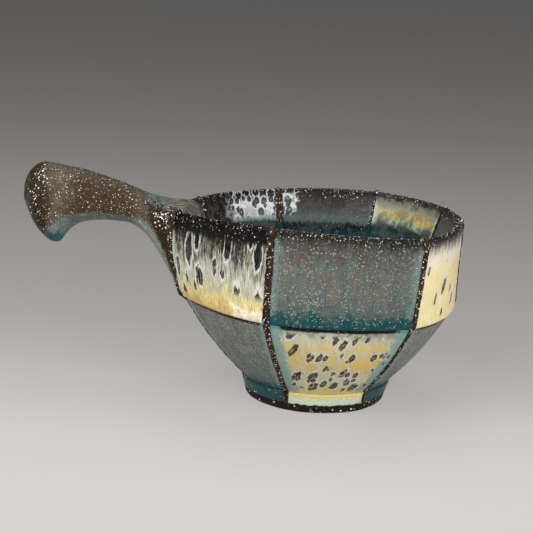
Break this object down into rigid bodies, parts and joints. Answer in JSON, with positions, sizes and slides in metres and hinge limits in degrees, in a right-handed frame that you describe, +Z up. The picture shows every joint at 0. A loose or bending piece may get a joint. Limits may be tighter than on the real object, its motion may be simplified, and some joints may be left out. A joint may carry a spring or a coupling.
{
  "type": "handled bowl",
  "caption": "Hand-built stoneware bowl of glazed clay panels with raised joints, standing on a foot ring, with a flared hollow side handle to hold and pour by.",
  "frame": {"origin": "bottom centre of the whole object's box, on the plane that the foot ring stands on", "axes": "+Z up, the handle points along -X, so +X is the long way from the handle to the far side of the rim"},
  "size_m": [0.219, 0.1334, 0.11],
  "materials": {
    "foot_clay": "bare dark stoneware below a teal glaze line",
    "pool_glaze": "deep teal glaze, pooled and glossy",
    "yellow_glaze": "dark speckled top running down to cream and golden yellow, with dark spots",
    "grey_glaze": "brown top over speckled warm grey, teal at the edges",
    "brown_glaze": "dark brown with white specks",
    "handle_glaze": "brown with dense white specks, grey-teal on top and underneath"
  },
  "bodies": {
    "root": {"foot_ring": "foot_clay", "floor_disc": "pool_glaze", "lower_panel_1": "grey_glaze", "lower_panel_2": "yellow_glaze", "lower_panel_3": "grey_glaze", "lower_panel_4": "yellow_glaze", "lower_panel_5": "grey_glaze", "lower_panel_6": "yellow_glaze", "lower_panel_7": "grey_glaze", "lower_panel_8": "yellow_glaze", "upper_panel_1": "yellow_glaze", "upper_panel_2": "grey_glaze", "upper_panel_3": "yellow_glaze", "upper_panel_4": "grey_glaze", "upper_panel_5": "yellow_glaze", "upper_panel_6": "grey_glaze", "upper_panel_7": "yellow_glaze", "upper_panel_8": "grey_glaze", "joint_strip_1": "brown_glaze", "joint_strip_2": "brown_glaze", "joint_strip_3": "brown_glaze", "joint_strip_4": "brown_glaze", "joint_strip_5": "brown_glaze", "joint_strip_6": "brown_glaze", "joint_strip_7": "brown_glaze", "joint_strip_8": "brown_glaze", "handle_body": "handle_glaze", "handle_end_cap": "handle_glaze"}
  },
  "joints": []
}
